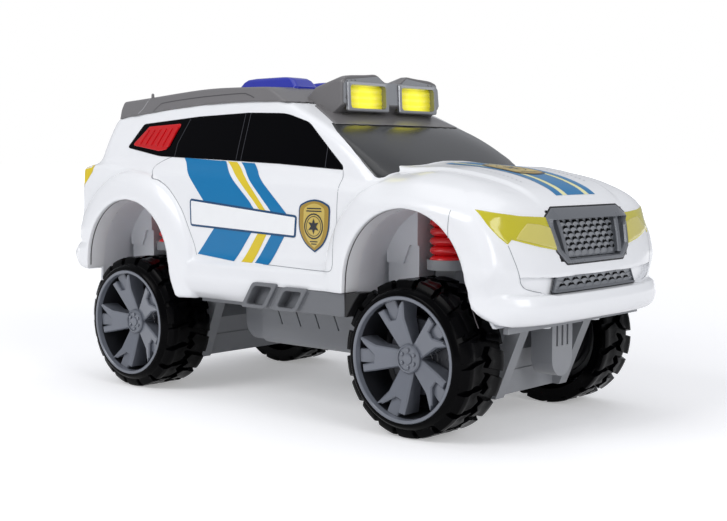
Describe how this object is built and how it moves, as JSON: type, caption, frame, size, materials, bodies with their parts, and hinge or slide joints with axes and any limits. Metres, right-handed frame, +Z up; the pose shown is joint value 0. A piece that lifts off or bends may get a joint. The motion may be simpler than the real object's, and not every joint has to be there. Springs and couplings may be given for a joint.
{
  "type": "toy police off-road car",
  "caption": "White toy police off-road car with grey roof and chassis, blue beacons, roof lamps, lugged wheels on turning axles and red springs.",
  "frame": {"origin": "on the floor under the middle of the car", "axes": "+X forwards along the car, +Y to its left, +Z up"},
  "size_m": [0.33, 0.1516, 0.1775],
  "materials": {
    "white_shell": "gloss",
    "screen": "gloss",
    "side_glass": "gloss",
    "grille_metal": "satin",
    "roof_grey": "satin",
    "silver": "satin",
    "yellow_lens": "gloss",
    "red_lens": "gloss",
    "blue_lens": "gloss",
    "chassis_grey": "satin",
    "spring_red": "gloss",
    "steel": "satin",
    "tyre": "satin",
    "rim_grey": "satin",
    "disc_grey": "satin"
  },
  "bodies": {
    "car": {"body_shell": "white_shell", "windscreen": "screen", "rear_window": "side_glass", "grille": "grille_metal", "lower_grille": "grille_metal", "roof_moulding": "roof_grey", "lamp_pod": "roof_grey", "chassis": "chassis_grey", "battery_lid": "chassis_grey", "front_axle_housing": "chassis_grey", "rear_axle_housing": "chassis_grey", "side_window_right": "side_glass", "tail_lamp_right": "red_lens", "headlamp_right": "yellow_lens", "beacon_right": "blue_lens", "pod_bezel_right": "silver", "pod_lens_right": "yellow_lens", "side_step_right": "chassis_grey", "arch_liner_front_right": "white_shell", "spring_front_right": "spring_red", "arch_liner_rear_right": "white_shell", "spring_rear_right": "spring_red", "side_window_left": "side_glass", "tail_lamp_left": "red_lens", "headlamp_left": "yellow_lens", "beacon_left": "blue_lens", "pod_bezel_left": "silver", "pod_lens_left": "yellow_lens", "side_step_left": "chassis_grey", "arch_liner_front_left": "white_shell", "spring_front_left": "spring_red", "arch_liner_rear_left": "white_shell", "spring_rear_left": "spring_red"},
    "front_wheels": {"front_axle_rod": "steel", "tyre_front_right": "tyre", "rim_front_right": "rim_grey", "disc_front_right": "disc_grey", "tyre_front_left": "tyre", "rim_front_left": "rim_grey", "disc_front_left": "disc_grey"},
    "rear_wheels": {"rear_axle_rod": "steel", "tyre_rear_right": "tyre", "rim_rear_right": "rim_grey", "disc_rear_right": "disc_grey", "tyre_rear_left": "tyre", "rim_rear_left": "rim_grey", "disc_rear_left": "disc_grey"}
  },
  "joints": [
    {"name": "front_axle_turn", "type": "hinge", "parent": "car", "child": "front_wheels", "pos_m": [0.0995, 0, 0.0375], "axis": [0, 1, 0], "continuous": true},
    {"name": "rear_axle_turn", "type": "hinge", "parent": "car", "child": "rear_wheels", "pos_m": [-0.1045, 0, 0.0375], "axis": [0, 1, 0], "continuous": true}
  ]
}
